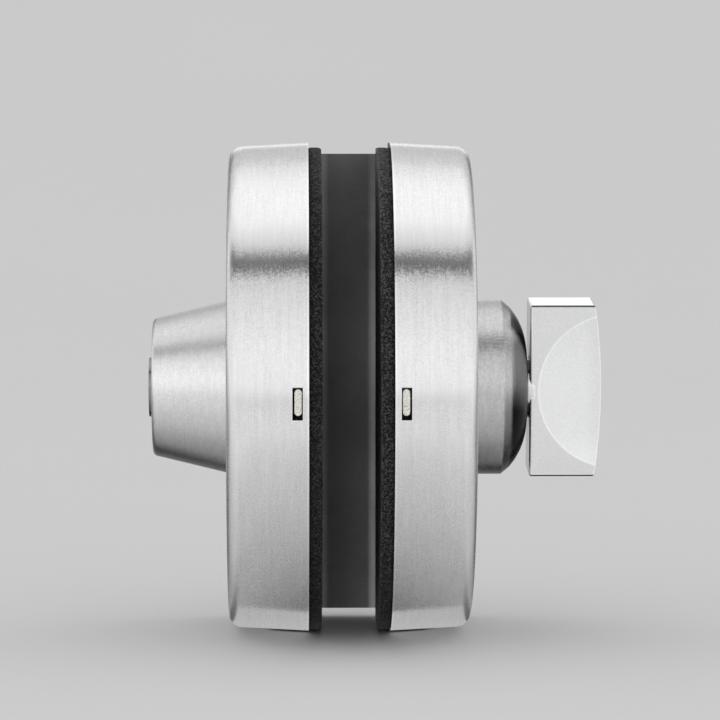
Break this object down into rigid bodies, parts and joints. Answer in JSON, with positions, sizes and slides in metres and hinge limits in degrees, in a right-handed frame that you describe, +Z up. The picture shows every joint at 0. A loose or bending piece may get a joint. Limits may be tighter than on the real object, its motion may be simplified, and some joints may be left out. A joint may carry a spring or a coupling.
{
  "type": "glass door lock",
  "caption": "Clamp-on lock for a glass door edge: D-shaped steel covers, foam pads, a key cylinder on one side, a turn knob on the other and a bolt in the flat side.",
  "frame": {"origin": "where the common axis of the two bosses crosses the middle plane of the glass", "axes": "+X runs through the glass from the key side to the knob side, +Y towards the flat bolt side, +Z up"},
  "size_m": [0.0971, 0.0765, 0.105],
  "materials": {
    "brushed_stainless": "fine brushed grain round the rims and bosses",
    "zinc_casting": "as-cast zinc alloy, slightly grainy",
    "foam": "open-cell black foam",
    "dark_spine": "dark grey satin coating",
    "steel": "zinc plated",
    "bolt_steel": "ground and satin",
    "black_spring_steel": "blackened spring steel",
    "nickel_plate": "nickel plated, satin",
    "brass": "stamped",
    "sintered_steel": "sintered, oiled",
    "polished_chrome": "polished, soft satin on the sides"
  },
  "bodies": {
    "lock_body": {"key_side_cover": "brushed_stainless", "knob_side_cover": "brushed_stainless", "key_side_base": "zinc_casting", "knob_side_base": "zinc_casting", "key_side_pad": "foam", "knob_side_pad": "foam", "spine_bar": "dark_spine", "clamp_screws": "steel", "key_side_boss": "brushed_stainless", "key_side_nut": "steel", "knob_side_boss": "brushed_stainless", "knob_side_nut": "steel", "lock_cylinder": "nickel_plate", "key_side_guide_cap": "steel", "knob_side_guide_cap": "steel", "guide_cap_screws": "steel", "knob_washer": "steel"},
    "knob_body": {"knob": "polished_chrome", "spindle": "steel", "knob_circlip": "black_spring_steel", "knob_pinion": "sintered_steel"},
    "bolt_body": {"bolt_head": "bolt_steel", "bolt_screws": "steel", "key_side_slide": "steel", "knob_side_slide": "steel"},
    "key_pinion_body": {"key_pinion": "sintered_steel"},
    "key_plug_body": {"key_plug": "nickel_plate", "wafers": "brass", "plug_clip": "black_spring_steel", "tail_bar": "steel"}
  },
  "joints": [
    {"name": "knob_turn", "type": "hinge", "parent": "lock_body", "child": "knob_body", "pos_m": [0.045, 0, 0], "axis": [1, 0, 0], "range_deg": [0, 90]},
    {"name": "bolt_slide", "type": "slide", "parent": "lock_body", "child": "bolt_body", "axis": [0, 1, 0], "range_m": [0, 0.0118]},
    {"name": "key_pinion_turn", "type": "hinge", "parent": "lock_body", "child": "key_pinion_body", "pos_m": [-0.0136, 0, 0], "axis": [1, 0, 0], "range_deg": [0, 90]},
    {"name": "key_turn", "type": "hinge", "parent": "lock_body", "child": "key_plug_body", "pos_m": [-0.032, 0, 0], "axis": [1, 0, 0], "range_deg": [0, 90]}
  ],
  "couplings": [
    {"joint": "bolt_slide", "follows": "knob_turn", "m_per_rad": 0.0075},
    {"joint": "key_pinion_turn", "follows": "knob_turn", "ratio": 1},
    {"joint": "key_turn", "follows": "knob_turn", "ratio": 1}
  ]
}
